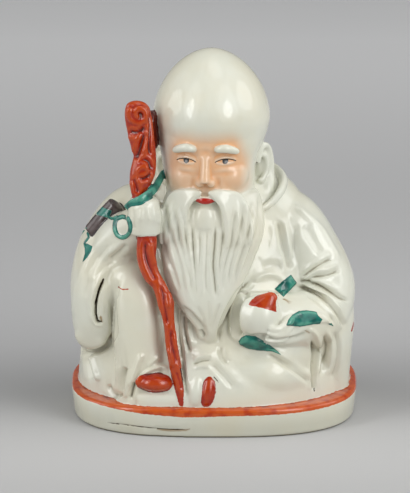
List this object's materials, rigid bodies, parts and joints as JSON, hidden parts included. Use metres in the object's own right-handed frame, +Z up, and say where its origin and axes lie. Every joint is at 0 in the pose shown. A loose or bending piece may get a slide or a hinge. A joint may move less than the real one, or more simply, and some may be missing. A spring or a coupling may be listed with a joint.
{
  "type": "seated sage figurine",
  "caption": "Seated porcelain figurine of a bearded old sage with a domed head, holding a root staff and a peach, fused to a low oval plinth.",
  "frame": {"origin": "centre of the plinth's underside", "axes": "+Z up along the figure's height, -Y the way the figure faces, +X to the viewer's right"},
  "size_m": [0.166, 0.142, 0.2172],
  "materials": {
    "porcelain": "glossy greenish white glaze with iron red, green and brown black enamels and a flesh wash"
  },
  "bodies": {
    "root": {"figure": "porcelain"}
  },
  "joints": []
}
